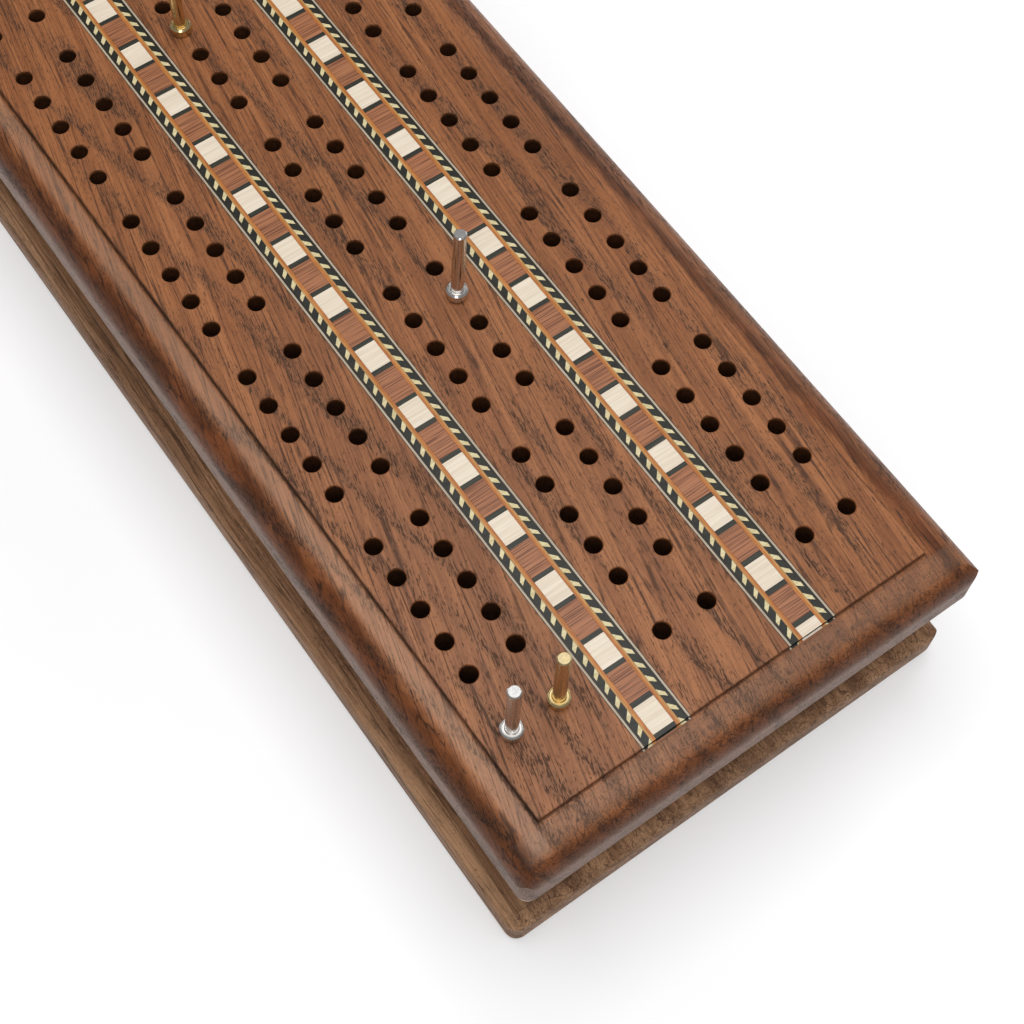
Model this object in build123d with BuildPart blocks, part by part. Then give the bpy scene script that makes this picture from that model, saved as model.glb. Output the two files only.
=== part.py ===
from build123d import *
import math
import os

os.makedirs("parts", exist_ok=True)

# ---------------------------------------------------------------- frame
# Millimetres. Origin: centre of the footprint, on the surface the box
# stands on. +X across the board, +Y along it from the start end towards
# the drawer's mouth, +Z up.

# ---------------------------------------------------------------- heights
foot_t = 1.0                    # felt disc
base_t = 7.5                    # base board
wall_h = 20.5                   # case walls
top_t = 12.0                    # playing board
z_base = foot_t
z_wall = z_base + base_t
z_top = z_wall + wall_h
z_field = z_top + top_t         # playing surface

# ---------------------------------------------------------------- playing board
top_hw = 48.3                   # half width over the moulding
top_hl = 148.2                  # half length
field_hw = 40.5                 # raised field
field_hl = 140.4
step_h = 0.8                    # field stands this much above the moulding
round_r = 5.0                   # rounded-over edge
arris_c = 0.4                   # lower edge, eased
corner_r = 2.6                  # plan corners, eased
fall = 6.0                      # degrees that the moulding's flat falls outwards
quirk_w = 0.30                  # fine groove at the foot of the step
quirk_d = 0.20

# ---------------------------------------------------------------- peg holes
pitch = 7.0                     # hole to hole along a row
group = 5                       # holes in a group
groups = 6                      # groups in a row
stride = 40.0                   # group to group
start_gap = 12.0                # last hole to the extra hole at each end
row_x = (-35.3, -25.9, -4.7, 4.7, 25.9, 35.3)
hole_r = 1.625
hole_d = 9.0
rim_c = 0.15

# ---------------------------------------------------------------- inlay
band_w = 10.0
band_t = 1.2
band_x = (-14.9, 15.7)
band_end = 0.7                  # runs on past the field's edge

# ---------------------------------------------------------------- base board
base_hw = 49.0
base_hl = 147.2
base_round = 2.5
base_ledge = 2.8                # raised flat starts this far in
base_step = 0.5

# ---------------------------------------------------------------- case
case_hw = 42.0
case_hl = 141.5
wall_t = 6.0
rabbet = 2.0
in_hw = case_hw - wall_t        # 36
near_in = -case_hl + wall_t     # inner face of the end wall
runner_x = 30.0
runner_w = 6.0
runner_h = 0.8

# ---------------------------------------------------------------- drawer
slide_gap = 0.05                # over the runners
side_gap = 0.6
front_gap = 0.4
front_t = 6.0
dside_t = 3.5
back_t = 4.0
bottom_t = 2.2
panel_up = 1.0                  # panel groove above the lower edge
dz0 = z_wall + runner_h + slide_gap
dside_top = z_top - 1.0
dx_out = in_hw - side_gap       # 35.4
dx_in = dx_out - dside_t        # 31.9
d_back0 = -133.5
d_side0 = -134.5
d_front_in = case_hl - front_t  # 135.5
floor_z = dz0 + panel_up + bottom_t
div_t = 3.0
div_top = z_top - 2.5
div_y = (57.5, -37.5)           # low face of each divider

# ---------------------------------------------------------------- pegs
shaft_r = 1.18
collar_r = 2.03
collar_h = 2.0
peg_h = 16.4                    # above the collar
shank_l = 7.0
shank_r0 = 1.55
shank_r1 = 1.15

# ---------------------------------------------------------------- fastenings
dowel_r = 1.5
dowel_in = 5.5
dowel_pts = [(sx * 39.0, y) for sx in (-1, 1) for y in (-112.0, 0.0, 112.0)]
dowel_pts += [(-18.0, -138.5), (18.0, -138.5)]
screw_pts = [(sx * 39.0, y) for sx in (-1, 1) for y in (-124.0, 14.0, 126.0)]
screw_pts += [(-28.0, -138.5), (28.0, -138.5)]
screw_r = 1.25
screw_head_r = 2.6
screw_l = 16.0


def hole_points():
    pts = []
    run = (groups - 1) * stride + (group - 1) * pitch
    y0 = -run / 2.0
    for x in row_x:
        pts.append((x, y0 - start_gap))
        for g in range(groups):
            for i in range(group):
                pts.append((x, y0 + g * stride + i * pitch))
        pts.append((x, -y0 + start_gap))
    return pts


holes = hole_points()


def board_outline(hw, z0, z1, rr, flat, step, c, tilt):
    """Half a board section: up the edge, round over, in along a flat that
    falls outwards by tilt degrees, then a step up to the field."""
    t = math.radians(tilt)
    m = math.radians((90.0 + tilt) / 2.0)
    ax = hw - rr                                 # the arc's centre
    az = (z1 - step - (ax + rr * math.sin(t) - flat) * math.tan(t)
          - rr * math.cos(t))
    end = (ax + rr * math.sin(t), az + rr * math.cos(t))
    return [
        ("l", (0.0, z0), (hw - c, z0)),
        ("l", (hw - c, z0), (hw, z0 + c)),
        ("l", (hw, z0 + c), (hw, az)),
        ("a", (hw, az), (ax + rr * math.sin(m), az + rr * math.cos(m)), end),
        ("l", end, (flat, z1 - step)),
        ("l", (flat, z1 - step), (flat, z1 - 0.12)),
        ("l", (flat, z1 - 0.12), (flat - 0.12, z1)),
        ("l", (flat - 0.12, z1), (0.0, z1)),
    ]


def draw_outline(segs):
    """The half section and its mirror image, as one closed line."""
    for s in segs:
        if s[0] == "l":
            Line(s[1], s[2])
        else:
            ThreePointArc(s[1], s[2], s[3])
    for s in segs:
        m = [(-p[0], p[1]) for p in s[1:]]
        if s[0] == "l":
            Line(m[0], m[1])
        else:
            ThreePointArc(m[0], m[1], m[2])


# ================================================================ playing board
# The long moulding and the end moulding meet in mitres at the corners.
with BuildPart() as top_board:
    with BuildSketch(Plane.XZ):
        with BuildLine():
            draw_outline(board_outline(top_hw, z_top, z_field, round_r,
                                       field_hw, step_h, arris_c, fall))
        make_face()
    extrude(amount=top_hl + 1, both=True)
    with BuildSketch(Plane.YZ):
        with BuildLine():
            draw_outline(board_outline(top_hl, z_top, z_field, round_r,
                                       field_hl, step_h, arris_c, fall))
        make_face()
    extrude(amount=top_hw + 1, both=True, mode=Mode.INTERSECT)
    with BuildSketch(Plane.XY.offset(z_top - 1)):
        RectangleRounded(2 * top_hw, 2 * top_hl, corner_r)
    extrude(amount=top_t + 2, mode=Mode.INTERSECT)
    # fine groove at the foot of the step
    with BuildSketch(Plane.XY.offset(z_field - step_h)):
        Rectangle(2 * (field_hw + quirk_w), 2 * (field_hl + quirk_w))
        Rectangle(2 * field_hw, 2 * field_hl, mode=Mode.SUBTRACT)
    extrude(amount=-quirk_d, mode=Mode.SUBTRACT)
    # grooves for the two inlaid bandings
    with BuildSketch(Plane.XY.offset(z_field)):
        for bx in band_x:
            with Locations((bx, 0)):
                Rectangle(band_w, 2 * (field_hl + band_end))
    extrude(amount=-band_t, mode=Mode.SUBTRACT)
    # peg holes and their eased rims
    with BuildSketch(Plane.XY.offset(z_field)):
        with Locations(*holes):
            Circle(hole_r)
    extrude(amount=-hole_d, mode=Mode.SUBTRACT)
    rims = (top_board.edges().filter_by(GeomType.CIRCLE)
            .filter_by(lambda e: abs(e.center().Z - z_field) < 0.01
                       and abs(e.radius - hole_r) < 0.01))
    chamfer(rims, length=rim_c)
    # blind holes in the underside for the dowels
    with BuildSketch(Plane.XY.offset(z_top)):
        with Locations(*dowel_pts):
            Circle(dowel_r)
    extrude(amount=dowel_in, mode=Mode.SUBTRACT)
top_board.part.label = "top_board"
export_step(top_board.part, "parts/top_board.step")

# ================================================================ inlaid bandings
for tag, bx in (("left", band_x[0]), ("right", band_x[1])):
    with BuildPart() as banding:
        with BuildSketch(Plane.XY.offset(z_field - band_t)):
            with Locations((bx, 0)):
                Rectangle(band_w, 2 * (field_hl + band_end))
        extrude(amount=band_t - step_h)
        with BuildSketch(Plane.XY.offset(z_field - step_h)):
            with Locations((bx, 0)):
                Rectangle(band_w, 2 * field_hl)
        extrude(amount=step_h)
    banding.part.label = "inlay_banding_" + tag
    export_step(banding.part, "parts/inlay_banding_" + tag + ".step")

# ================================================================ base board
with BuildPart() as base_plate:
    with BuildSketch(Plane.XZ):
        with BuildLine():
            draw_outline(board_outline(base_hw, z_base, z_wall, base_round,
                                       base_hw - base_ledge, base_step,
                                       arris_c, 0.0))
        make_face()
    extrude(amount=base_hl + 1, both=True)
    with BuildSketch(Plane.YZ):
        with BuildLine():
            draw_outline(board_outline(base_hl, z_base, z_wall, base_round,
                                       base_hl - base_ledge, base_step,
                                       arris_c, 0.0))
        make_face()
    extrude(amount=base_hw + 1, both=True, mode=Mode.INTERSECT)
    with BuildSketch(Plane.XY.offset(z_base - 1)):
        RectangleRounded(2 * base_hw, 2 * base_hl, corner_r)
    extrude(amount=base_t + 2, mode=Mode.INTERSECT)
    # countersunk screw holes from below
    with BuildSketch(Plane.XY.offset(z_base)):
        with Locations(*screw_pts):
            Circle(screw_r)
    extrude(amount=base_t, mode=Mode.SUBTRACT)
    for px, py in screw_pts:
        with Locations(Location((px, py, z_base))):
            Cone(screw_head_r, screw_r, screw_head_r - screw_r,
                 align=(Align.CENTER, Align.CENTER, Align.MIN),
                 mode=Mode.SUBTRACT)
base_plate.part.label = "base_plate"
export_step(base_plate.part, "parts/base_plate.step")

# ================================================================ case walls
for tag, s in (("left", -1), ("right", 1)):
    with BuildPart() as side_wall:
        with BuildSketch(Plane.XY.offset(z_wall)):
            with Locations((s * (case_hw - wall_t / 2), 0)):
                Rectangle(wall_t, 2 * case_hl)
            # rabbet for the end wall
            with Locations((s * (in_hw + rabbet / 2), -case_hl + wall_t / 2)):
                Rectangle(rabbet, wall_t, mode=Mode.SUBTRACT)
        extrude(amount=wall_h)
        # softened mouth end
        chamfer(side_wall.edges().filter_by(Axis.Z)
                .filter_by(lambda e: e.center().Y > case_hl - 0.01),
                length=0.3)
        with BuildSketch(Plane.XY.offset(z_top)):
            with Locations(*[p for p in dowel_pts if p[0] * s > 30]):
                Circle(dowel_r)
        extrude(amount=-dowel_in, mode=Mode.SUBTRACT)
        with BuildSketch(Plane.XY.offset(z_wall)):
            with Locations(*[p for p in screw_pts if p[0] * s > 30]):
                Circle(screw_r)
        extrude(amount=screw_l - base_t, mode=Mode.SUBTRACT)
    side_wall.part.label = "side_wall_" + tag
    export_step(side_wall.part, "parts/side_wall_" + tag + ".step")

with BuildPart() as near_end_wall:
    with BuildSketch(Plane.XY.offset(z_wall)):
        with Locations((0, -case_hl + wall_t / 2)):
            Rectangle(2 * (in_hw + rabbet), wall_t)
    extrude(amount=wall_h)
    with BuildSketch(Plane.XY.offset(z_top)):
        with Locations(*[p for p in dowel_pts if abs(p[0]) < 30]):
            Circle(dowel_r)
    extrude(amount=-dowel_in, mode=Mode.SUBTRACT)
    with BuildSketch(Plane.XY.offset(z_wall)):
        with Locations(*[p for p in screw_pts if abs(p[0]) < 30]):
            Circle(screw_r)
    extrude(amount=screw_l - base_t, mode=Mode.SUBTRACT)
near_end_wall.part.label = "near_end_wall"
export_step(near_end_wall.part, "parts/near_end_wall.step")

# ================================================================ drawer runners
for tag, s in (("left", -1), ("right", 1)):
    with BuildPart() as runner:
        with BuildSketch(Plane.XY.offset(z_wall)):
            with Locations((s * runner_x, 0)):
                Rectangle(runner_w, 268.0)
        extrude(amount=runner_h)
        chamfer(runner.faces().sort_by(Axis.Z)[-1].edges(), length=0.2)
    runner.part.label = "drawer_runner_" + tag
    export_step(runner.part, "parts/drawer_runner_" + tag + ".step")

# ================================================================ dowels and screws
with BuildPart() as top_dowels:
    with BuildSketch(Plane.XY.offset(z_top - dowel_in)):
        with Locations(*dowel_pts):
            Circle(dowel_r)
    extrude(amount=2 * dowel_in)
top_dowels.part.label = "top_dowels"
export_step(top_dowels.part, "parts/top_dowels.step")

head_h = screw_head_r - screw_r
with BuildPart() as base_screws:
    for px, py in screw_pts:
        with BuildSketch(Plane.XZ.offset(-py)):
            with BuildLine():
                Polyline((px, z_base), (px + screw_head_r, z_base),
                         (px + screw_r, z_base + head_h),
                         (px + screw_r, z_base + screw_l - 2.5),
                         (px, z_base + screw_l), close=True)
            make_face()
        revolve(axis=Axis((px, py, 0), (0, 0, 1)))
    # driver slots
    for k, (px, py) in enumerate(screw_pts):
        with BuildSketch(Plane.XY.offset(z_base)):
            with Locations(Location((px, py, 0), (0, 0, 25.0 + 37.0 * k))):
                Rectangle(2 * screw_head_r + 1, 0.7)
        extrude(amount=0.6, mode=Mode.SUBTRACT)
base_screws.part.label = "base_screws"
export_step(base_screws.part, "parts/base_screws.step")

# ================================================================ felt feet
with BuildPart() as felt_feet:
    with BuildSketch(Plane.XY):
        with GridLocations(78.0, 274.0, 2, 2):
            Circle(6.0)
    extrude(amount=foot_t)
felt_feet.part.label = "felt_feet"
export_step(felt_feet.part, "parts/felt_feet.step")

# ================================================================ drawer
front_z0 = z_wall + 0.5
front_z1 = z_top - 0.5
front_hw = in_hw - front_gap
knob_z = (front_z0 + front_z1) / 2
knob_screw_r = 1.5
with BuildPart() as drawer_front:
    with BuildSketch(Plane.XY.offset(front_z0)):
        with Locations((0, case_hl - front_t / 2)):
            Rectangle(2 * front_hw, front_t)
    extrude(amount=front_z1 - front_z0)
    chamfer(drawer_front.faces().sort_by(Axis.Y)[-1].edges(), length=0.3)
    # rabbets for the sides
    with BuildSketch(Plane.XY.offset(front_z0)):
        for s in (-1, 1):
            with Locations((s * (dx_in + front_hw) / 2 + s * 0.25,
                            d_front_in + 1.25)):
                Rectangle(front_hw - dx_in + 0.5, 2.5)
    extrude(amount=front_z1 - front_z0, mode=Mode.SUBTRACT)
    # groove for the bottom panel
    with BuildSketch(Plane.XY.offset(dz0 + panel_up)):
        with Locations((0, d_front_in + 1.0)):
            Rectangle(2 * dx_in, 2.0)
    extrude(amount=bottom_t, mode=Mode.SUBTRACT)
    # hole for the knob's screw
    with BuildSketch(Plane.XZ.offset(-case_hl)):
        with Locations((0, knob_z)):
            Circle(knob_screw_r)
    extrude(amount=front_t, mode=Mode.SUBTRACT)
drawer_front.part.label = "drawer_front"
export_step(drawer_front.part, "parts/drawer_front.step")

# brads through the sides into the back
pin_r = 0.5
pin_l = 8.0
with BuildPart() as drawer_pins:
    for s in (-1, 1):
        for z in (floor_z + 3.5, dside_top - 4.0):
            with BuildSketch(Plane.YZ.offset(s * dx_out)):
                with Locations((d_back0 + back_t / 2, z)):
                    Circle(pin_r)
            extrude(amount=-s * pin_l)
drawer_pins.part.label = "drawer_pins"
export_step(drawer_pins.part, "parts/drawer_pins.step")

for tag, s in (("left", -1), ("right", 1)):
    with BuildPart() as drawer_side:
        with BuildSketch(Plane.XY.offset(dz0)):
            with Locations((s * (dx_in + dside_t / 2),
                            (d_side0 + d_front_in + 2.5) / 2)):
                Rectangle(dside_t, d_front_in + 2.5 - d_side0)
        extrude(amount=dside_top - dz0)
        fillet(drawer_side.edges().filter_by(Axis.Y).group_by(Axis.Z)[-1],
               radius=0.6)
        # groove for the bottom panel
        with BuildSketch(Plane.XY.offset(dz0 + panel_up)):
            with Locations((s * (dx_in + 0.6), (d_back0 + d_front_in) / 2)):
                Rectangle(1.2, d_front_in - d_back0)
        extrude(amount=bottom_t, mode=Mode.SUBTRACT)
        # housing for the back
        with BuildSketch(Plane.XY.offset(floor_z)):
            with Locations((s * (dx_in + 0.5), d_back0 + back_t / 2)):
                Rectangle(1.0, back_t)
        extrude(amount=dside_top - floor_z, mode=Mode.SUBTRACT)
        add(drawer_pins.part, mode=Mode.SUBTRACT)
    drawer_side.part.label = "drawer_side_" + tag
    export_step(drawer_side.part, "parts/drawer_side_" + tag + ".step")

with BuildPart() as drawer_back:
    with BuildSketch(Plane.XY.offset(floor_z)):
        with Locations((0, d_back0 + back_t / 2)):
            Rectangle(2 * (dx_in + 1.0), back_t)
    extrude(amount=dside_top - 0.5 - floor_z)
    fillet(drawer_back.edges().filter_by(Axis.X).group_by(Axis.Z)[-1],
           radius=0.5)
    add(drawer_pins.part, mode=Mode.SUBTRACT)
drawer_back.part.label = "drawer_back"
export_step(drawer_back.part, "parts/drawer_back.step")

with BuildPart() as drawer_bottom:
    with BuildSketch(Plane.XY.offset(dz0 + panel_up)):
        with Locations((0, (d_back0 + d_front_in) / 2)):
            Rectangle(2 * (dx_in + 1.2), d_front_in - d_back0)
        with Locations((0, d_front_in + 1.0)):
            Rectangle(2 * dx_in, 2.0)
    extrude(amount=bottom_t)
drawer_bottom.part.label = "drawer_bottom"
export_step(drawer_bottom.part, "parts/drawer_bottom.step")

for tag, y in (("peg_divider", div_y[0]), ("card_divider", div_y[1])):
    with BuildPart() as divider:
        with BuildSketch(Plane.XY.offset(floor_z)):
            with Locations((0, y + div_t / 2)):
                Rectangle(2 * dx_in, div_t)
        extrude(amount=div_top - floor_z)
        fillet(divider.edges().filter_by(Axis.X).group_by(Axis.Z)[-1],
               radius=0.8)
    divider.part.label = tag
    export_step(divider.part, "parts/" + tag + ".step")

# low turned knob, held by a screw from inside
knob_l = 6.4
with BuildPart() as drawer_knob:
    with BuildSketch(Plane.YZ):
        with BuildLine():
            y0 = case_hl
            Polyline((y0, knob_z), (y0, knob_z + 4.2), (y0 + 0.8, knob_z + 4.2),
                     (y0 + 1.1, knob_z + 3.8))
            Spline((y0 + 1.1, knob_z + 3.8), (y0 + 2.0, knob_z + 2.75),
                   (y0 + 3.2, knob_z + 3.2), (y0 + 4.4, knob_z + 5.3),
                   (y0 + 5.0, knob_z + 5.6))
            Spline((y0 + 5.0, knob_z + 5.6), (y0 + 5.7, knob_z + 5.1),
                   (y0 + 6.2, knob_z + 3.0), (y0 + knob_l, knob_z))
            Line((y0 + knob_l, knob_z), (y0, knob_z))
        make_face()
    revolve(axis=Axis((0, 0, knob_z), (0, 1, 0)))
    with BuildSketch(Plane.XZ.offset(-case_hl)):
        with Locations((0, knob_z)):
            Circle(knob_screw_r)
    extrude(amount=-4.0, mode=Mode.SUBTRACT)
drawer_knob.part.label = "drawer_knob"
export_step(drawer_knob.part, "parts/drawer_knob.step")

with BuildPart() as knob_screw:
    with BuildSketch(Plane.YZ):
        with BuildLine():
            yi = d_front_in
            Polyline((yi - 1.6, knob_z), (yi - 1.6, knob_z + 1.6),
                     (yi - 1.1, knob_z + 2.7), (yi, knob_z + 2.9),
                     (yi, knob_z + knob_screw_r),
                     (case_hl + 3.8, knob_z + knob_screw_r),
                     (case_hl + 3.8, knob_z), close=True)
        make_face()
    revolve(axis=Axis((0, 0, knob_z), (0, 1, 0)))
    with BuildSketch(Plane.XZ.offset(-(d_front_in - 1.6))):
        with Locations((0, knob_z)):
            Rectangle(7.0, 0.8)
            Rectangle(0.8, 7.0)
    extrude(amount=-0.8, mode=Mode.SUBTRACT)
knob_screw.part.label = "knob_screw"
export_step(knob_screw.part, "parts/knob_screw.step")

# ================================================================ pegs
run_y = ((groups - 1) * stride + (group - 1) * pitch) / 2.0
first_y = -run_y
peg_places = {
    # name: (x, y, lean in degrees towards +X)
    "peg_silver_start": (row_x[0], first_y - start_gap, 0.0),
    "peg_brass_start": (row_x[1], first_y - start_gap, 0.0),
    "peg_silver_middle": (row_x[3], first_y + stride + 3 * pitch, 2.6),
    "peg_brass_middle": (row_x[2], first_y + 3 * stride + 3 * pitch, 0.0),
}
for name, (px, py, lean) in peg_places.items():
    with BuildPart() as peg:
        with BuildSketch(Plane.XZ):
            with BuildLine():
                Polyline((0, -shank_l), (shank_r1 - 0.3, -shank_l),
                         (shank_r1, -shank_l + 0.4), (shank_r0, 0.0),
                         (collar_r - 0.25, 0.0), (collar_r, 0.25),
                         (collar_r, collar_h - 0.3),
                         (collar_r - 0.3, collar_h),
                         (shaft_r + 0.5, collar_h),
                         (shaft_r + 0.36, collar_h - 0.22),
                         (shaft_r + 0.14, collar_h - 0.22),
                         (shaft_r, collar_h),
                         (shaft_r, collar_h + peg_h - 0.2),
                         (shaft_r - 0.2, collar_h + peg_h),
                         (0, collar_h + peg_h), close=True)
            make_face()
        revolve(axis=Axis.Z)
    lift = 0.02 + collar_r * math.sin(math.radians(abs(lean)))
    placed = Location((px, py, z_field + lift), (0, lean, 0)) * peg.part
    placed.label = name
    export_step(placed, "parts/" + name + ".step")
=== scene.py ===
import math
import random

import bmesh
import bpy
from mathutils import Matrix, Vector


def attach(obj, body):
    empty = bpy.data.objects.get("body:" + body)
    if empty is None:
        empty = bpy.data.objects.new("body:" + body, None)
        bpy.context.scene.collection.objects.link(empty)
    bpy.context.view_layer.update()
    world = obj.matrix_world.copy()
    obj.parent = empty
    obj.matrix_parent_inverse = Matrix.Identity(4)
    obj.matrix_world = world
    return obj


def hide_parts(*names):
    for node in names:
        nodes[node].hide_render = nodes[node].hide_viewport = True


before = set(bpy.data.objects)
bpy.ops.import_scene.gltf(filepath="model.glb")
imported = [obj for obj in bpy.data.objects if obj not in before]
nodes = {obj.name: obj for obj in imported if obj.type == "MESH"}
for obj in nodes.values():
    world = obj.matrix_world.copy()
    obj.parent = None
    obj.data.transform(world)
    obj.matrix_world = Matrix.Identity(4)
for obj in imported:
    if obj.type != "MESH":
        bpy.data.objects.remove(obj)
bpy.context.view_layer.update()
scene = bpy.context.scene
MM = 0.001


# ------------------------------------------------------------------ camera
# The photograph's viewpoint, solved from the grid of peg holes.
RIGHT = Vector((0.81340335, -0.58121154, 0.02383575))
DOWN = Vector((-0.51468637, -0.73818611, -0.43609542))
AHEAD = Vector((0.27105891, 0.34245353, -0.89958471))
cam_data = bpy.data.cameras.new("photo_camera")
cam_data.sensor_width = 36.0
cam_data.sensor_fit = "HORIZONTAL"
cam_data.lens = 1834.05 / 1024.0 * 36.0
cam_data.clip_start = 0.01
cam_data.clip_end = 20.0
cam = bpy.data.objects.new("photo_camera", cam_data)
scene.collection.objects.link(cam)
pose = Matrix((
    (RIGHT.x, -DOWN.x, -AHEAD.x, -0.0970344),
    (RIGHT.y, -DOWN.y, -AHEAD.y, -0.2010064),
    (RIGHT.z, -DOWN.z, -AHEAD.z, 0.2807340 + 0.041),
    (0.0, 0.0, 0.0, 1.0)))
cam.matrix_world = pose
scene.camera = cam
scene.view_settings.view_transform = "Standard"


# ------------------------------------------------------------------ shader helpers
def srgb(r, g, b):
    """A colour given as 0-255 display values, as the shader wants it."""
    out = []
    for c in (r, g, b):
        c = c / 255.0
        out.append(c / 12.92 if c <= 0.04045 else ((c + 0.055) / 1.055) ** 2.4)
    return (out[0], out[1], out[2], 1.0)


class Tree:
    """Short names for the shader nodes used here."""

    def __init__(self, name):
        self.mat = bpy.data.materials.new(name)
        self.mat.use_nodes = True
        self.nt = self.mat.node_tree
        self.nt.nodes.clear()
        self.out = self.nt.nodes.new("ShaderNodeOutputMaterial")
        self.bsdf = self.nt.nodes.new("ShaderNodeBsdfPrincipled")
        self.nt.links.new(self.bsdf.outputs[0], self.out.inputs["Surface"])

    def put(self, socket, v):
        if isinstance(v, bpy.types.NodeSocket):
            self.nt.links.new(v, socket)
        elif v is not None:
            socket.default_value = v

    def coords(self):
        n = self.nt.nodes.new("ShaderNodeTexCoord")
        return n.outputs["Object"]

    def normal_xyz(self):
        """The surface normal in the object's own axes, as three numbers."""
        n = self.nt.nodes.new("ShaderNodeTexCoord")
        s = self.nt.nodes.new("ShaderNodeSeparateXYZ")
        self.nt.links.new(n.outputs["Normal"], s.inputs[0])
        return s.outputs[0], s.outputs[1], s.outputs[2]

    def xyz(self, v):
        s = self.nt.nodes.new("ShaderNodeSeparateXYZ")
        self.put(s.inputs[0], v)
        return s.outputs[0], s.outputs[1], s.outputs[2]

    def vec(self, x, y, z):
        c = self.nt.nodes.new("ShaderNodeCombineXYZ")
        for i, v in enumerate((x, y, z)):
            self.put(c.inputs[i], v)
        return c.outputs[0]

    def m(self, op, a, b=None, c=None, clamp=False):
        n = self.nt.nodes.new("ShaderNodeMath")
        n.operation = op
        n.use_clamp = clamp
        self.put(n.inputs[0], a)
        if b is not None:
            self.put(n.inputs[1], b)
        if c is not None:
            self.put(n.inputs[2], c)
        return n.outputs[0]

    def add(self, a, b):
        return self.m("ADD", a, b)

    def sub(self, a, b):
        return self.m("SUBTRACT", a, b)

    def mul(self, a, b):
        return self.m("MULTIPLY", a, b)

    def noise(self, v, scale=1.0, detail=2.0, rough=0.5, distort=0.0, w=None):
        n = self.nt.nodes.new("ShaderNodeTexNoise")
        if w is not None:
            n.noise_dimensions = "4D"
            self.put(n.inputs["W"], w)
        self.put(n.inputs["Vector"], v)
        n.inputs["Scale"].default_value = scale
        n.inputs["Detail"].default_value = detail
        n.inputs["Roughness"].default_value = rough
        n.inputs["Distortion"].default_value = distort
        return n.outputs["Fac"]

    def voronoi(self, v, scale=1.0, feature="F1", out="Distance", rand=1.0):
        n = self.nt.nodes.new("ShaderNodeTexVoronoi")
        n.feature = feature
        self.put(n.inputs["Vector"], v)
        n.inputs["Scale"].default_value = scale
        n.inputs["Randomness"].default_value = rand
        return n.outputs[out]

    def step(self, v, lo, hi, a=0.0, b=1.0):
        """a below lo, b above hi, smooth between."""
        n = self.nt.nodes.new("ShaderNodeMapRange")
        n.interpolation_type = "SMOOTHSTEP"
        self.put(n.inputs["Value"], v)
        self.put(n.inputs["From Min"], lo)
        self.put(n.inputs["From Max"], hi)
        self.put(n.inputs["To Min"], a)
        self.put(n.inputs["To Max"], b)
        return n.outputs["Result"]

    def mix(self, f, a, b, kind="MIX"):
        n = self.nt.nodes.new("ShaderNodeMix")
        n.data_type = "RGBA"
        n.blend_type = kind
        n.clamp_factor = True
        self.put(n.inputs[0], f)
        self.put(n.inputs[6], a)
        self.put(n.inputs[7], b)
        return n.outputs[2]

    def bump(self, h, strength=0.3, dist=0.0001, normal=None):
        n = self.nt.nodes.new("ShaderNodeBump")
        n.inputs["Strength"].default_value = strength
        n.inputs["Distance"].default_value = dist
        self.put(n.inputs["Height"], h)
        if normal is not None:
            self.put(n.inputs["Normal"], normal)
        return n.outputs["Normal"]

    def finish(self, color, rough, normal=None, metallic=0.0, spec=0.5, ior=1.5,
               coat=0.0, coat_rough=0.1, sheen=0.0, tint=(1.0, 1.0, 1.0, 1.0)):
        b = self.bsdf
        b.inputs["Specular Tint"].default_value = tint
        self.put(b.inputs["Base Color"], color)
        self.put(b.inputs["Roughness"], rough)
        b.inputs["Metallic"].default_value = metallic
        b.inputs["Specular IOR Level"].default_value = spec
        b.inputs["IOR"].default_value = ior
        b.inputs["Coat Weight"].default_value = coat
        b.inputs["Coat Roughness"].default_value = coat_rough
        b.inputs["Sheen Weight"].default_value = sheen
        if normal is not None:
            self.put(b.inputs["Normal"], normal)
        return self.mat


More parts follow.
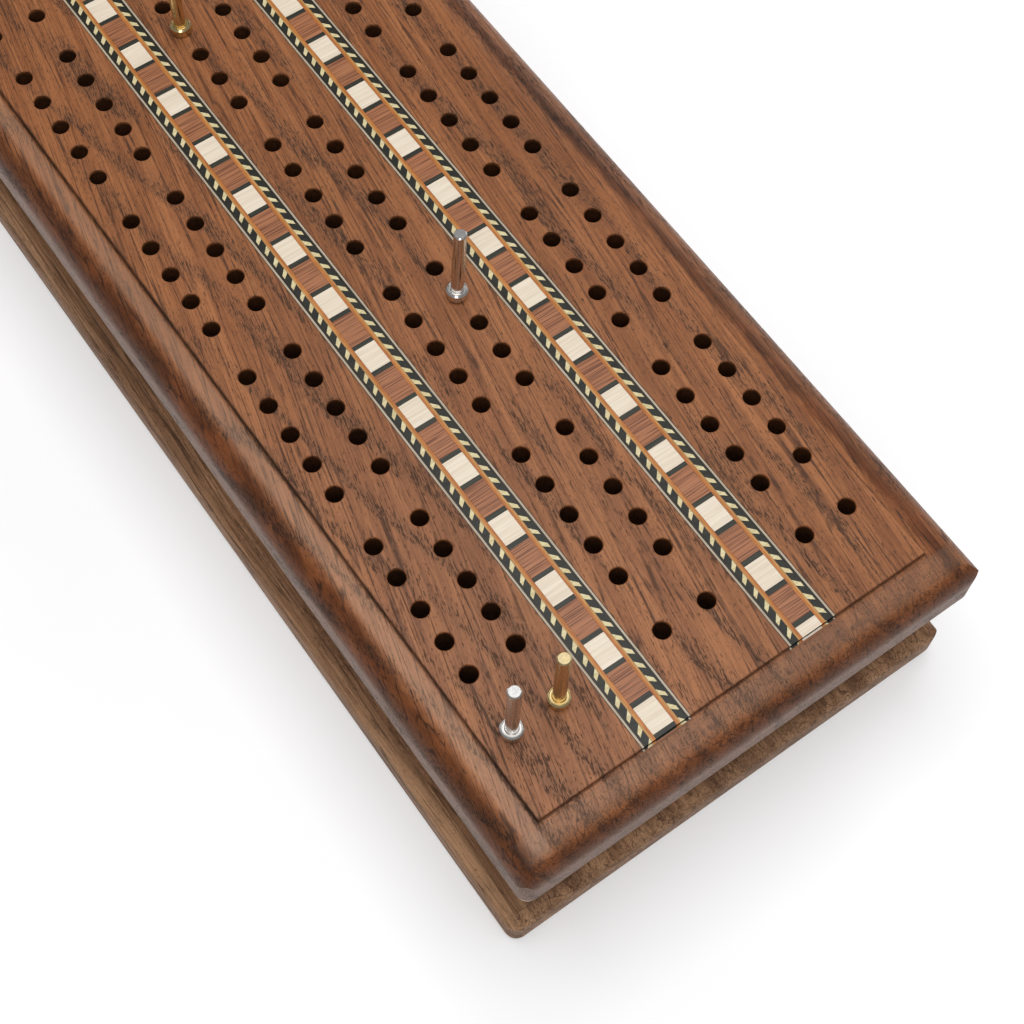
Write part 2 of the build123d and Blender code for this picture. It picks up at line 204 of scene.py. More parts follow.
# ------------------------------------------------------------------ wood
def wood(name, along="Y", seed=(0.0, 0.0, 0.0), lean=(0.0, 0.0), rings=(0.0, 0.0, 0.6),
         ring_gap=9.0, light=(153, 98, 61), base=(131, 80, 48), dark=(84, 48, 29),
         pore=(43, 27, 18), ring_tone=(96, 63, 44), pores=1.0, ring_amount=1.0,
         streak=1.0, rough=0.36, ior=1.33, grain_bump=0.35, edge=None, cross=None,
         shade_hole_walls=False):
    """Open-grained hardwood as one solid pattern, so that faces along the
    grain show long lines and dashes and faces across it show end grain.
    lean = (a, b): the fibres drift by a + b*u per unit length.
    rings = (a, b, c): the same for the growth rings, and their tilt with height.
    edge: how much of the colour is left where a worked edge turns down.
    cross: beyond this distance along the grain the worked edge is cross-cut.
    The last flag paints the walls of the small holes dark, as painted shade.
    """
    t = Tree(name)
    x, y, z = t.xyz(t.coords())
    if along == "Y":
        u, v, w = x, y, z
    elif along == "X":
        u, v, w = y, x, z
    else:
        u, v, w = x, z, y
    # millimetres, with the piece's own place in the tree
    v0 = t.mul(v, 1000.0)
    u = t.add(t.mul(u, 1000.0), seed[0])
    v = t.add(v0, seed[1])
    w = t.add(t.mul(w, 1000.0), seed[2])
    # slow waver of the fibres
    slow = t.noise(t.vec(t.mul(u, 0.02), t.mul(v, 0.012), t.mul(w, 0.02)), 1.0, 2.0, 0.5)
    waver = t.mul(t.sub(slow, 0.5), 9.0)
    # fibre coordinates
    slope = t.add(lean[0], t.mul(t.sub(u, seed[0]), lean[1]))
    fu = t.add(t.sub(u, t.mul(t.sub(v, seed[1]), slope)), t.mul(waver, 0.35))
    # growth rings, wide soft bands
    rslope = t.add(rings[0], t.mul(t.sub(u, seed[0]), rings[1]))
    ru = t.add(t.add(u, t.mul(t.sub(v, seed[1]), rslope)), t.mul(w, rings[2]))
    wob = t.noise(t.vec(t.mul(u, 0.10), t.mul(v, 0.022), t.mul(w, 0.10)), 1.0, 3.0, 0.6)
    ru = t.add(ru, t.mul(t.sub(wob, 0.5), 13.0))
    cyc = t.m("FRACT", t.mul(ru, 1.0 / ring_gap))
    # earlywood: a band with a sharper front and a fading back
    band = t.mul(t.step(cyc, 0.0, 0.16), t.step(cyc, 0.20, 0.60, 1.0, 0.0))
    patch = t.noise(t.vec(t.mul(fu, 0.09), t.mul(v, 0.03), t.mul(w, 0.09)), 1.0, 3.0, 0.55)
    band = t.mul(band, t.step(patch, 0.34, 0.58))
    # open pores: short ticks along the fibre, thick in the bands
    pn = t.noise(t.vec(t.mul(fu, 4.3), t.mul(v, 0.50), t.mul(w, 4.3)), 1.0, 2.0, 0.6)
    pn2 = t.noise(t.vec(t.mul(fu, 6.2), t.mul(v, 0.90), t.mul(w, 6.2)), 1.0, 1.0, 0.5)
    cut = t.sub(0.650, t.mul(band, 0.115))
    dash = t.step(t.sub(pn, cut), 0.0, 0.05)
    cut2 = t.sub(0.665, t.mul(band, 0.125))
    dash2 = t.step(t.sub(pn2, cut2), 0.0, 0.05)
    dash = t.m("MAXIMUM", t.mul(dash, 0.95), t.mul(dash2, 0.8))
    # long thin fibre lines under a millimetre apart, some broken into ticks
    ln = t.noise(t.vec(t.mul(fu, 1.18), t.mul(v, 0.028), t.mul(w, 1.18)), 1.0, 0.0, 0.5)
    line = t.step(t.m("ABSOLUTE", t.sub(ln, 0.5)), 0.010, 0.062, 1.0, 0.0)
    lgate = t.noise(t.vec(t.mul(fu, 0.9), t.mul(v, 0.06), t.mul(w, 0.9)), 1.0, 1.0, 0.5)
    ticks = t.noise(t.vec(t.mul(fu, 1.5), t.mul(v, 0.42), t.mul(w, 1.5)), 1.0, 1.0, 0.5)
    tick = t.mul(line, t.step(ticks, 0.48, 0.57))
    line = t.mul(line, t.step(lgate, 0.36, 0.56, 0.20, 1.0))
    dash = t.m("MAXIMUM", dash, t.mul(tick, 0.6))
    dash = t.mul(dash, pores)
    # streaks of colour and fine fibre
    st = t.noise(t.vec(t.mul(fu, 0.55), t.mul(v, 0.012), t.mul(w, 0.55)), 1.0, 3.0, 0.6)
    fine = t.noise(t.vec(t.mul(fu, 4.6), t.mul(v, 0.13), t.mul(w, 4.6)), 1.0, 2.0, 0.6)
    cloud = t.noise(t.vec(t.mul(fu, 0.05), t.mul(v, 0.012), t.mul(w, 0.05)), 1.0, 2.0, 0.5)
    speck = t.noise(t.vec(t.mul(fu, 2.4), t.mul(v, 1.3), t.mul(w, 2.4)), 1.0, 2.0, 0.6)
    c = t.mix(t.step(st, 0.36, 0.64), srgb(*base), srgb(*light))
    c = t.mix(t.step(cloud, 0.38, 0.65, 0.0, 0.22), c, srgb(*dark))
    c = t.mix(t.mul(t.step(fine, 0.46, 0.68), 0.46 * streak), c, srgb(*dark))
    c = t.mix(t.mul(t.step(fine, 0.50, 0.26), 0.40 * streak), c, srgb(*light))
    c = t.mix(t.mul(t.step(speck, 0.52, 0.70), 0.18 * streak), c, srgb(*dark))
    c = t.mix(t.mul(line, 0.78 * streak), c, srgb(*dark))
    c = t.mix(t.mul(band, 0.38 * ring_amount), c, srgb(*ring_tone))
    c = t.mix(t.mul(dash, 0.86), c, srgb(*pore))
    h = t.sub(t.mul(fine, 0.25), t.mul(dash, 1.0))
    h = t.sub(h, t.mul(line, 0.25))
    r = t.add(t.mul(dash, 0.25), t.add(rough - 0.05, t.mul(fine, 0.10)))
    if cross is not None:
        # cross-cut edge: pits and short curls in place of long lines
        pm = t.vec(t.mul(u, 1.25), t.mul(v, 1.9), t.mul(w, 1.9))
        wx = t.noise(pm, 0.7, 2.0, 0.5)
        curl = t.noise(t.vec(t.add(t.mul(u, 1.1), t.mul(wx, 2.4)), t.mul(v, 1.8), t.mul(w, 1.8)),
                       1.0, 1.0, 0.5)
        pit = t.step(t.m("ABSOLUTE", t.sub(curl, 0.5)), 0.0, 0.035, 1.0, 0.0)
        pit = t.mul(pit, t.step(t.noise(pm, 0.55, 2.0, 0.6), 0.50, 0.62))
        mott = t.noise(t.vec(t.mul(u, 0.10), t.mul(v, 0.30), t.mul(w, 0.55)), 1.0, 2.0, 0.5)
        grit = t.noise(t.vec(t.mul(u, 3.6), t.mul(v, 4.0), t.mul(w, 4.0)), 1.0, 2.0, 0.6)
        at_end = t.step(t.m("ABSOLUTE", v0), cross, cross + 0.3)
        ce = t.mix(t.step(mott, 0.38, 0.66, 0.0, 0.26), c, srgb(*dark))
        ce = t.mix(t.step(grit, 0.50, 0.66, 0.0, 0.46), ce, srgb(*dark))
        ce = t.mix(t.step(grit, 0.48, 0.32, 0.0, 0.22), ce, srgb(*light))
        ce = t.mix(t.mul(pit, 0.75), ce, srgb(*pore))
        c = t.mix(at_end, c, ce)
        h = t.sub(h, t.mul(t.mul(pit, at_end), 1.1))
        h = t.add(h, t.mul(t.mul(grit, at_end), 0.35))
    n = t.bump(h, grain_bump, 0.00008)
    if edge is not None:
        # stain gathers where the moulding turns down, in dark and warm patches
        nx, ny, nz = t.normal_xyz()
        xm = t.mul(x, 1000.0)
        ym = t.m("ABSOLUTE", v0)
        zm = t.mul(z, 1000.0)
        blot = t.noise(t.vec(t.mul(u, 0.30), t.mul(v, 0.17), t.mul(w, 0.30)), 1.0, 3.0, 0.6)
        wave = t.mul(t.sub(blot, 0.5), 3.0)
        # painted sheen: the flat along the left side is painted a little paler
        painted_sheen_left_flat = t.mul(t.step(t.mul(xm, -1.0), 40.9, 41.4), t.step(t.mul(xm, -1.0), 43.2, 44.8, 1.0, 0.0))
        c = t.mix(t.mul(painted_sheen_left_flat, t.mul(t.step(nz, 0.8, 0.95), 0.17)), c, srgb(188, 160, 138))
        left = t.step(t.add(t.mul(xm, -1.0), wave), 43.6, 46.0)
        right = t.mul(t.step(t.add(xm, wave), 41.6, 43.2), t.step(xm, 43.9, 45.2, 1.0, 0.25))
        ends = t.mul(t.step(t.add(ym, wave), 145.0, 146.9), 0.85)
        turn = t.m("MAXIMUM", t.m("MAXIMUM", left, right), ends)
        turn = t.mul(turn, t.step(nz, -0.3, -0.1))
        deep_stain = t.mix(1.0, c, srgb(*edge), "MULTIPLY")
        warm_stain = t.mix(1.0, c, srgb(200, 182, 168), "MULTIPLY")
        patchy = t.noise(t.vec(t.mul(u, 0.26), t.mul(v, 0.10), t.mul(w, 0.24)), 1.0, 2.0, 0.5)
        # the patches lie on the round; the upright face below is even
        even = t.step(nz, 0.05, 0.40, 1.0, 0.0)
        warm = t.mul(t.step(patchy, 0.42, 0.64), t.sub(1.0, even))
        # the upright face takes an even stain and is then painted greyer, a painted reflection of the white floor
        face_stain_and_reflection = t.mix(1.0, c, srgb(214, 204, 184), "MULTIPLY")
        face_stain_and_reflection = t.mix(0.12, face_stain_and_reflection, srgb(120, 108, 84))
        edge_stain_and_face_reflection = t.mix(even, t.mix(warm, deep_stain, warm_stain), face_stain_and_reflection)
        c = t.mix(turn, c, edge_stain_and_face_reflection)
        # the upright face is duller than the polished round
        r = t.add(r, t.mul(t.mul(turn, even), 0.04))
        # painted sheen: the cross-cut flat is painted a little greyer
        painted_sheen_end_flat = t.mul(t.step(ym, 141.0, 141.4), t.step(nz, 0.8, 0.95))
        c = t.mix(t.mul(painted_sheen_end_flat, 0.14), c, srgb(124, 112, 100))
        # the quirk round the field is painted darker on the left side and at the ends
        q_side = t.mul(t.step(t.m("ABSOLUTE", t.add(xm, 40.55)), 0.12, 0.46, 1.0, 0.0),
                       t.step(ym, 140.7, 141.0, 1.0, 0.0))
        q_end = t.mul(t.step(t.m("ABSOLUTE", t.sub(ym, 140.45)), 0.10, 0.40, 1.0, 0.0),
                      t.step(t.m("ABSOLUTE", xm), 40.7, 41.0, 1.0, 0.0))
        quirk = t.m("MAXIMUM", t.mul(q_side, t.step(blot, 0.30, 0.62, 0.35, 0.75)), t.mul(q_end, 0.30))
        c = t.mix(quirk, c, srgb(38, 22, 14))
        # painted highlight: a thin band along the lower arris is painted pale
        highlight_and_mottle = t.mul(t.step(zm, 29.30, 29.48, 1.0, 0.0), t.step(nz, -0.92, -0.82))
        c = t.mix(t.mul(highlight_and_mottle, 0.55), c, srgb(206, 186, 166))
    if shade_hole_walls:
        # painted shade: the walls of the small holes below the field are darkened
        deep = t.mul(t.step(t.mul(z, 1000.0), 40.0, 40.7, 1.0, 0.0), t.step(t.mul(z, 1000.0), 30.0, 31.0))
        inside = t.mul(t.step(t.m("ABSOLUTE", t.mul(x, 1000.0)), 39.0, 39.5, 1.0, 0.0),
                       t.step(t.m("ABSOLUTE", v0), 139.0, 139.5, 1.0, 0.0))
        c = t.mix(t.mul(deep, t.mul(inside, 0.79)), c, srgb(26, 14, 8))
    return t.finish(c, r, n, ior=ior, tint=(1.0, 0.93, 0.83, 1.0))


oak_board = wood("board_wood", "Y", (0.0, 0.0, 0.0), (0.16, -0.0016), (0.13, -0.0026, 0.75),
                 edge=(168, 156, 148), cross=140.45, shade_hole_walls=True)
oak_base = wood("base_wood", "Y", (311.0, 97.0, 40.0), (0.02, 0.0), (0.05, 0.0, 0.8),
                light=(178, 138, 104), base=(138, 102, 74), dark=(86, 61, 45), streak=1.1,
                pore=(66, 48, 36), pores=0.75, rough=0.52, ior=1.25, cross=143.6)
oak_side_l = wood("case_side_left_wood", "Y", (77.0, 611.0, 140.0), (0.03, 0.0), (0.04, 0.0, 1.3))
oak_side_r = wood("case_side_right_wood", "Y", (177.0, 911.0, 240.0), (-0.02, 0.0), (-0.05, 0.0, 1.3))
oak_end = wood("case_end_wood", "X", (577.0, 311.0, 640.0), (0.03, 0.0), (0.04, 0.0, 1.3))
oak_front = wood("drawer_front_wood", "X", (977.0, 211.0, 340.0), (0.0, 0.0), (0.07, 0.0, 1.3))


def plain_wood(name, along, seed, light, base, dark, fleck=0.3, rough=0.45):
    return wood(name, along, seed, (0.01, 0.0), (0.03, 0.0, 0.7), ring_gap=13.0,
                light=light, base=base, dark=dark, pore=dark, ring_tone=dark,
                pores=fleck, ring_amount=0.35, streak=0.45, rough=rough, grain_bump=0.2)


pale_side_l = plain_wood("drawer_side_left_wood", "Y", (31.0, 17.0, 9.0), (214, 180, 134), (200, 162, 114), (160, 118, 76))
pale_side_r = plain_wood("drawer_side_right_wood", "Y", (131.0, 57.0, 69.0), (214, 180, 134), (200, 162, 114), (160, 118, 76))
pale_back = plain_wood("drawer_back_wood", "X", (231.0, 157.0, 19.0), (214, 180, 134), (198, 160, 112), (158, 116, 74))
pale_panel = plain_wood("drawer_panel_wood", "Y", (431.0, 257.0, 119.0), (210, 174, 128), (192, 152, 106), (152, 110, 72))
pale_div_a = plain_wood("peg_divider_wood", "X", (531.0, 57.0, 219.0), (216, 182, 136), (200, 164, 116), (162, 120, 78))
pale_div_b = plain_wood("card_divider_wood", "X", (631.0, 77.0, 319.0), (216, 182, 136), (200, 164, 116), (162, 120, 78))
pale_runner = plain_wood("runner_wood", "Y", (731.0, 97.0, 419.0), (208, 174, 128), (190, 152, 108), (148, 108, 70), rough=0.4)
pale_dowel = plain_wood("dowel_wood", "Z", (831.0, 117.0, 519.0), (216, 184, 138), (200, 166, 120), (162, 122, 82))


# ------------------------------------------------------------------ metals and felt
def metal(name, tint, deep, rough, face_shade=None, collar_shade=None, turn=1.0):
    """Turned metal. The face and collar tones are painted shade on the up-facing end face
    and on the flat of the collar, so that these reflect the overhead light less brightly."""
    t = Tree(name)
    p = t.coords()
    x, y, z = t.xyz(p)
    turned = t.noise(t.vec(t.mul(x, 300.0), t.mul(y, 300.0), t.mul(z, 9000.0)), 1.0, 2.0, 0.6)
    cloud = t.noise(p, 900.0, 3.0, 0.6)
    highlight_and_mottle = t.noise(p, 2600.0, 2.0, 0.6)
    c = t.mix(t.step(cloud, 0.45, 0.75, 0.0, 0.28), tint, deep)
    r = t.add(rough, t.mul(t.step(cloud, 0.4, 0.8), 0.06))
    if face_shade is not None:
        nx, ny, nz = t.normal_xyz()
        # painted shade: the up-facing flats of head and collar take the darker face and collar tones, mottled
        flat = t.step(nz, 0.82, 0.96)
        head = t.step(t.mul(z, 1000.0), 45.0, 46.0)
        plain = t.mix(head, collar_shade, face_shade)
        mottled_face_shade = t.mix(t.step(highlight_and_mottle, 0.35, 0.65), plain, deep)
        c = t.mix(flat, c, t.mix(0.30, plain, mottled_face_shade))
        r = t.add(r, t.mul(flat, 0.12))
    n = t.bump(turned, 0.05 * turn, 0.00002)
    return t.finish(c, r, n, metallic=1.0)


# the last two colours of each peg metal are painted shade for the up-facing head and collar
silver = metal("peg_silver", srgb(220, 217, 214), srgb(186, 180, 174), 0.20,
               srgb(136, 136, 135), srgb(162, 161, 159))
peg_brass = metal("peg_brass", srgb(220, 198, 150), srgb(190, 160, 106), 0.22,
                  srgb(140, 130, 102), srgb(166, 154, 118))
knob_brass = metal("knob_brass", srgb(212, 180, 116), srgb(172, 134, 76), 0.22)
steel = metal("screw_steel", srgb(188, 188, 190), srgb(150, 150, 154), 0.32)


def felt_material():
    t = Tree("felt")
    p = t.coords()
    a = t.noise(p, 2600.0, 4.0, 0.7)
    b = t.noise(p, 420.0, 3.0, 0.6)
    c = t.mix(t.step(a, 0.3, 0.7), srgb(22, 44, 30), srgb(48, 78, 56))
    c = t.mix(t.step(b, 0.5, 0.8, 0.0, 0.4), c, srgb(64, 92, 70))
    n = t.bump(a, 0.7, 0.0002)
    return t.finish(c, 0.95, n, spec=0.2, sheen=0.4)


felt = felt_material()

finish_of = {
    "top_board": oak_board, "base_plate": oak_base,
    "side_wall_left": oak_side_l, "side_wall_right": oak_side_r,
    "near_end_wall": oak_end, "drawer_front": oak_front,
    "drawer_side_left": pale_side_l, "drawer_side_right": pale_side_r,
    "drawer_back": pale_back, "drawer_bottom": pale_panel,
    "peg_divider": pale_div_a, "card_divider": pale_div_b,
    "drawer_runner_left": pale_runner, "drawer_runner_right": pale_runner,
    "top_dowels": pale_dowel, "base_screws": steel, "knob_screw": steel,
    "drawer_pins": steel, "drawer_knob": knob_brass, "felt_feet": felt,
    "peg_silver_start": silver, "peg_silver_middle": silver,
    "peg_brass_start": peg_brass, "peg_brass_middle": peg_brass,
}
for name, mat in finish_of.items():
    data = nodes[name].data
    data.materials.clear()
    data.materials.append(mat)


# ------------------------------------------------------------------ inlay veneers
def veneer(name, a, b, c, across=True, fine=9.0, contrast=0.6, rough=0.38, grey=0.0):
    """Thin dyed or natural veneer: fine fibre across or along the strip."""
    t = Tree(name)
    x, y, z = t.xyz(t.coords())
    x, y, z = t.mul(x, 1000.0), t.mul(y, 1000.0), t.mul(z, 1000.0)
    if across:
        v1 = t.vec(t.mul(x, 0.06), t.mul(y, fine * 0.20), t.mul(z, 0.5))
        v2 = t.vec(t.mul(x, 0.09), t.mul(y, fine * 0.62), t.mul(z, 1.0))
    else:
        v1 = t.vec(t.mul(x, fine * 0.30), t.mul(y, 0.06), t.mul(z, 0.5))
        v2 = t.vec(t.mul(x, fine), t.mul(y, 0.40), t.mul(z, 1.0))
    broad = t.noise(v1, 1.0, 2.0, 0.6)
    thin = t.noise(v2, 1.0, 1.0, 0.5)
    col = t.mix(t.step(broad, 0.34, 0.66), srgb(*a), srgb(*b))
    col = t.mix(t.mul(t.step(thin, 0.47, 0.60), contrast), col, srgb(*c))
    n = t.bump(t.add(thin, t.mul(broad, 0.4)), 0.25, 0.00005)
    return t.finish(col, rough, n, ior=1.33)


V_WHITE = veneer("veneer_white", (208, 194, 174), (216, 204, 186), (188, 170, 146), True, 7.0, 0.30)
V_BROWN = veneer("veneer_brown", (158, 105, 73), (148, 95, 64), (84, 48, 32), True, 9.0, 0.78)
V_FILL = veneer("strip_end_filler", (128, 80, 48), (114, 70, 41), (80, 46, 28), True, 6.0, 0.5)
V_BAR = veneer("veneer_black_bar", (46, 46, 38), (34, 35, 30), (60, 58, 48), True, 6.0, 0.4)
V_ORANGE = veneer("veneer_orange", (182, 114, 54), (166, 98, 44), (136, 76, 36), False, 6.0, 0.5)
V_GOLD = veneer("veneer_gold", (182, 134, 78), (170, 120, 66), (138, 92, 48), False, 6.0, 0.5)
V_ROPE = veneer("veneer_rope_light", (196, 182, 138), (206, 194, 154), (152, 136, 98), True, 5.0, 0.35)
V_ROPE_DARK = veneer("veneer_rope_dark", (32, 32, 26), (24, 26, 22), (46, 46, 38), True, 5.0, 0.4)
V_BLACK = veneer("veneer_black_line", (34, 31, 24), (26, 25, 20), (46, 42, 34), False, 6.0, 0.4)
V_LINE = veneer("veneer_white_line", (164, 150, 130), (174, 161, 141), (132, 117, 98), False, 6.0, 0.35)
V_GLUE = veneer("veneer_glue", (40, 26, 18), (32, 20, 14), (24, 16, 12), False, 6.0, 0.4)
KINDS = [V_WHITE, V_BROWN, V_BAR, V_ORANGE, V_GOLD, V_ROPE, V_ROPE_DARK, V_BLACK, V_LINE, V_GLUE, V_FILL]
WHITE, BROWN, BAR, ORANGE, GOLD, ROPE, ROPE_DARK, BLACK, LINE, GLUE, FILL = range(11)


def tile(bm, corners, z0, z1, kind, ease=0.012):
    """One veneer piece: a closed prism with its upper edge eased.
    corners are (x, y) in millimetres, anticlockwise seen from above."""
    cx = sum(c[0] for c in corners) / len(corners)
    cy = sum(c[1] for c in corners) / len(corners)
    n = len(corners)

    def inset(p, d):
        k = math.hypot(p[0] - cx, p[1] - cy)
        f = max(0.0, 1.0 - d / k) if k > 1e-6 else 1.0
        return (cx + (p[0] - cx) * f, cy + (p[1] - cy) * f)

    lo = [bm.verts.new((p[0] * MM, p[1] * MM, z0 * MM)) for p in corners]
    mid = [bm.verts.new((p[0] * MM, p[1] * MM, (z1 - ease) * MM)) for p in corners]
    top = []
    for p in corners:
        q = inset(p, ease)
        top.append(bm.verts.new((q[0] * MM, q[1] * MM, z1 * MM)))
    faces = [bm.faces.new(list(reversed(lo))), bm.faces.new(top)]
    for i in range(n):
        j = (i + 1) % n
        faces.append(bm.faces.new((lo[i], lo[j], mid[j], mid[i])))
        faces.append(bm.faces.new((mid[i], mid[j], top[j], top[i])))
    for f in faces:
        f.material_index = kind


def clip(poly, y0, y1):
    """The polygon's part between y0 and y1."""
    for lim, keep_above in ((y0, True), (y1, False)):
        out = []
        for i in range(len(poly)):
            a, b = poly[i], poly[(i + 1) % len(poly)]
            ia = a[1] >= lim if keep_above else a[1] <= lim
            ib = b[1] >= lim if keep_above else b[1] <= lim
            if ia:
                out.append(a)
            if ia != ib:
                k = (lim - a[1]) / (b[1] - a[1])
                out.append((a[0] + (b[0] - a[0]) * k, lim))
        poly = out
        if len(poly) < 3:
            return None
    # drop corners that fell together
    clean = []
    for p in poly:
        if not clean or math.hypot(p[0] - clean[-1][0], p[1] - clean[-1][1]) > 1e-4:
            clean.append(p)
    if len(clean) > 2 and math.hypot(clean[0][0] - clean[-1][0], clean[0][1] - clean[-1][1]) <= 1e-4:
        clean.pop()
    area = 0.0
    for i in range(len(clean)):
        a, b = clean[i], clean[(i + 1) % len(clean)]
        area += a[0] * b[1] - a[1] * b[0]
    return clean if len(clean) > 2 and abs(area) > 0.02 else None


FIELD_END = 140.4
GROOVE_END = 141.1     # where the groove stops; filler closes its last part
STRIP_END = 140.76
Z_TOP = 41.0
Z_LOW = 40.2
GAP = 0.018


def banding(name, cx, first_bar, white, brown, rope_at, seed):
    """One inlaid strip, from its separate veneers.
    first_bar is a bar's centre where a white block follows towards +Y."""
    rnd = random.Random(seed)
    bm = bmesh.new()

    def run(x0, x1, y0, y1, kind, dz=0.0):
        """A strip of veneer; past the field's edge it lies lower."""
        for a, b, z in ((-STRIP_END, -FIELD_END, Z_LOW), (-FIELD_END, FIELD_END, Z_TOP),
                        (FIELD_END, STRIP_END, Z_LOW)):
            lo, hi = max(a, y0), min(b, y1)
            if hi - lo > 0.03:
                tile(bm, [(cx + x0, lo), (cx + x1, lo), (cx + x1, hi), (cx + x0, hi)],
                     Z_TOP - 1.2, z - dz, kind)

    # bed that shows as glue lines between the veneers
    for a, b, z in ((-STRIP_END, -FIELD_END, Z_LOW), (-FIELD_END, FIELD_END, Z_TOP),
                    (FIELD_END, STRIP_END, Z_LOW)):
        tile(bm, [(cx - 5.0, a), (cx + 5.0, a), (cx + 5.0, b), (cx - 5.0, b)],
             Z_TOP - 1.2, z - 0.05, GLUE)
    for a, b in ((-GROOVE_END, -STRIP_END - 0.004), (STRIP_END + 0.004, GROOVE_END)):
        tile(bm, [(cx - 5.0, a), (cx + 5.0, a), (cx + 5.0, b), (cx - 5.0, b)],
             Z_TOP - 1.2, Z_LOW, FILL)
    for s in (-1, 1):
        spans = ((2.10 + GAP, 2.52, ORANGE), (2.52 + GAP, 2.93, GOLD),
                 (4.02 + GAP, 4.50, BLACK), (4.50 + GAP, 4.87, LINE))
        for a, b, kind in spans:
            x0, x1 = (a, b) if s > 0 else (-b, -a)
            run(x0, x1, -STRIP_END, STRIP_END, kind, rnd.uniform(0.0, 0.006))
        # rope: slanting light and dark pieces, the inner end higher up the board
        a, b = 2.93 + GAP, 4.02
        pitch, rise = 2.95, 1.05
        start = rope_at[0 if s < 0 else 1]
        first = int((-STRIP_END - 6 - start) / pitch) - 1
        last = int((STRIP_END + 6 - start) / pitch) + 1
        for k in range(first, last + 1):
            y = start + k * pitch
            lt = 1.22 + rnd.uniform(-0.08, 0.08)
            for h0, h1, kind in ((y, y + lt, ROPE), (y + lt + GAP, y + pitch - GAP, ROPE_DARK)):
                # outer side is lower by rise, and a light piece narrows there
                thin = 0.16 if kind == ROPE else -0.16
                inner = (h0, h1)
                outer = (h0 - rise + thin, h1 - rise - thin)
                if s > 0:
                    poly = [(cx + a, inner[0]), (cx + b, outer[0]), (cx + b, outer[1]), (cx + a, inner[1])]
                else:
                    poly = [(cx - b, outer[0]), (cx - a, inner[0]), (cx - a, inner[1]), (cx - b, outer[1])]
                for lo, hi, z in ((-STRIP_END, -FIELD_END, Z_LOW), (-FIELD_END, FIELD_END, Z_TOP),
                                  (FIELD_END, STRIP_END, Z_LOW)):
                    part = clip(poly, lo, hi)
                    if part:
                        tile(bm, part, Z_TOP - 1.2, z - rnd.uniform(0.0, 0.008), kind)
    # blocks and bars
    period = white + brown
    k = int((-STRIP_END - first_bar) / period) - 1
    bars = []
    while first_bar + k * period < STRIP_END + period:
        y = first_bar + k * period
        for at, kind in ((y, WHITE), (y + white, BROWN)):
            bars.append((at + rnd.uniform(-0.10, 0.10), 0.46 + rnd.uniform(-0.03, 0.03), kind))
        k += 1
    for (yb, half, kind), (yn, hn, _) in zip(bars, bars[1:]):
        run(-2.08, 2.08, yb - half, yb + half, BAR, rnd.uniform(0.0, 0.006))
        run(-2.08, 2.08, yb + half + GAP, yn - hn - GAP, kind, rnd.uniform(0.0, 0.006))
    me = bpy.data.meshes.new(name)
    bm.to_mesh(me)
    bm.free()
    for mat in KINDS:
        me.materials.append(mat)
    ob = bpy.data.objects.new(name, me)
    scene.collection.objects.link(ob)
    return ob


left_band = banding("banding_left_veneers", -14.9, -140.04, 6.26, 7.37, (-137.9, -137.7), 11)
right_band = banding("banding_right_veneers", 15.7, -138.0 - 6.30, 6.30, 7.22, (-138.6, -138.4), 23)
for ob, node in ((left_band, "inlay_banding_left"), (right_band, "inlay_banding_right")):
    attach(ob, "box")
    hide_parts(node)


# ------------------------------------------------------------------ floor and light
def floor_material():
    t = Tree("pale_floor")
    p = t.coords()
    a = t.noise(p, 9.0, 3.0, 0.5)
    c = t.mix(t.step(a, 0.3, 0.7), srgb(211, 211, 212), srgb(215, 215, 216))
    t.bsdf.inputs["Emission Color"].default_value = (1.0, 1.0, 1.0, 1.0)
    # beyond the softboxes the floor gives its own pale light, up to the backdrop's
    x, y, z = t.xyz(p)
    away = t.m("SQRT", t.add(t.mul(x, x), t.mul(y, y)))
    t.put(t.bsdf.inputs["Emission Strength"], t.step(away, 0.40, 1.70, 0.27, 0.72))
    return t.finish(c, 0.75, None, spec=0.25)


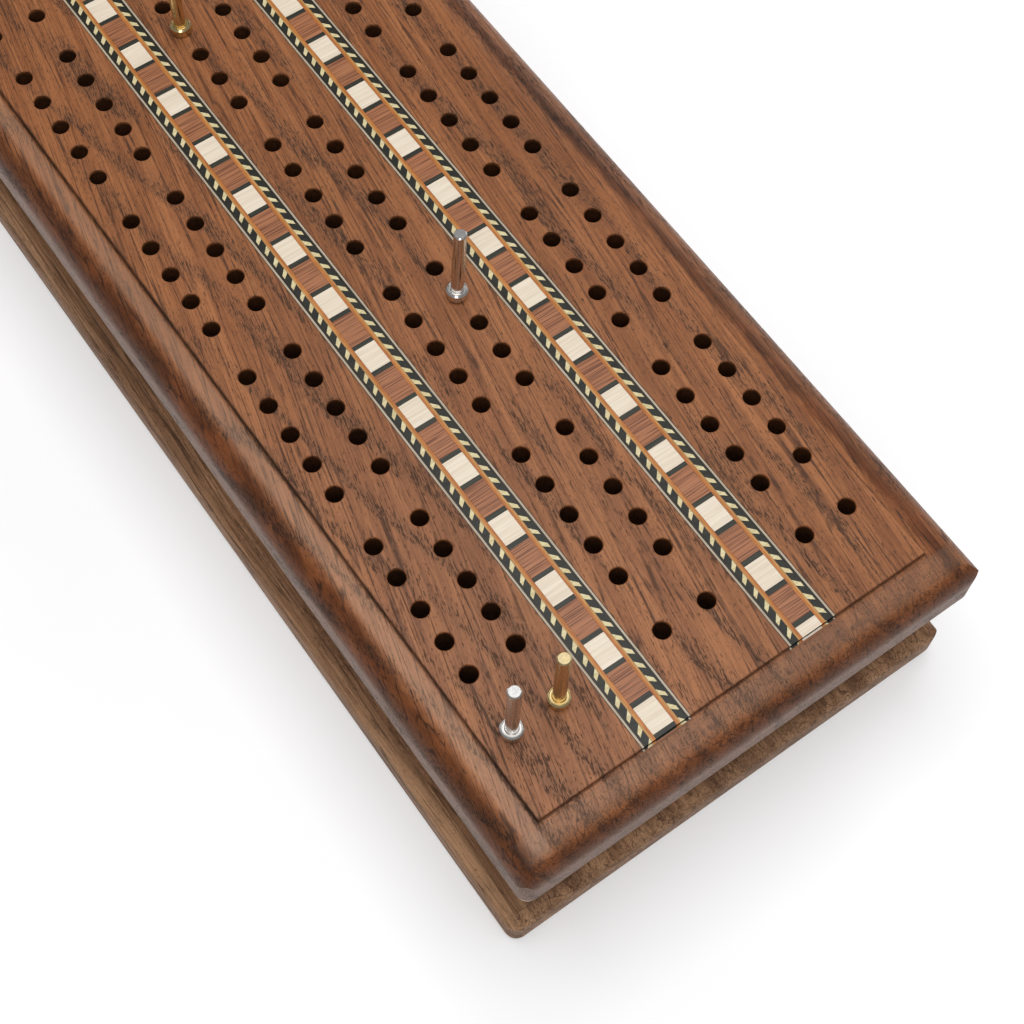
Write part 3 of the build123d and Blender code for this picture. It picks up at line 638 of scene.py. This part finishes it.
bm = bmesh.new()
half = 3.0
steps = 6
grid = [[bm.verts.new((-half + 2 * half * i / steps, -half + 2 * half * j / steps, -0.00005))
         for j in range(steps + 1)] for i in range(steps + 1)]
for i in range(steps):
    for j in range(steps):
        bm.faces.new((grid[i][j], grid[i + 1][j], grid[i + 1][j + 1], grid[i][j + 1]))
me = bpy.data.meshes.new("floor")
bm.to_mesh(me)
bm.free()
me.materials.append(floor_material())
floor = bpy.data.objects.new("floor", me)
scene.collection.objects.link(floor)


def softbox(name, place, target, size_x, size_y, power, color=(1.0, 1.0, 1.0)):
    data = bpy.data.lights.new(name, "AREA")
    data.shape = "RECTANGLE"
    data.size = size_x
    data.size_y = size_y
    data.energy = power
    data.color = color
    ob = bpy.data.objects.new(name, data)
    scene.collection.objects.link(ob)
    ob.location = place
    ob.rotation_euler = (Vector(target) - Vector(place)).to_track_quat("-Z", "Y").to_euler()
    return ob


softbox("overhead_softbox", (0.0, -0.08, 0.84), (0.0, -0.08, 0.0), 0.66, 0.80, 6.4)
softbox("camera_side_fill", (-0.62, -0.85, 1.10), (0.0, 0.0, 0.0), 0.55, 0.55, 4.0)
softbox("right_side_panel", (0.95, 0.50, 0.62), (0.0, 0.0, 0.03), 0.70, 0.60, 2.6)

world = bpy.data.worlds.new("studio")
scene.world = world
world.use_nodes = True
wt = world.node_tree
wt.nodes.clear()
wo = wt.nodes.new("ShaderNodeOutputWorld")
bg = wt.nodes.new("ShaderNodeBackground")
bg.inputs["Color"].default_value = (1.0, 1.0, 1.0, 1.0)
bg.inputs["Strength"].default_value = 0.25
# the backdrop itself is seen pale, and lights the object less
pale = wt.nodes.new("ShaderNodeBackground")
pale.inputs["Color"].default_value = (1.0, 1.0, 1.0, 1.0)
pale.inputs["Strength"].default_value = 0.90
seen = wt.nodes.new("ShaderNodeLightPath")
both = wt.nodes.new("ShaderNodeMixShader")
wt.links.new(seen.outputs["Is Camera Ray"], both.inputs[0])
wt.links.new(bg.outputs[0], both.inputs[1])
wt.links.new(pale.outputs[0], both.inputs[2])
wt.links.new(both.outputs[0], wo.inputs[0])
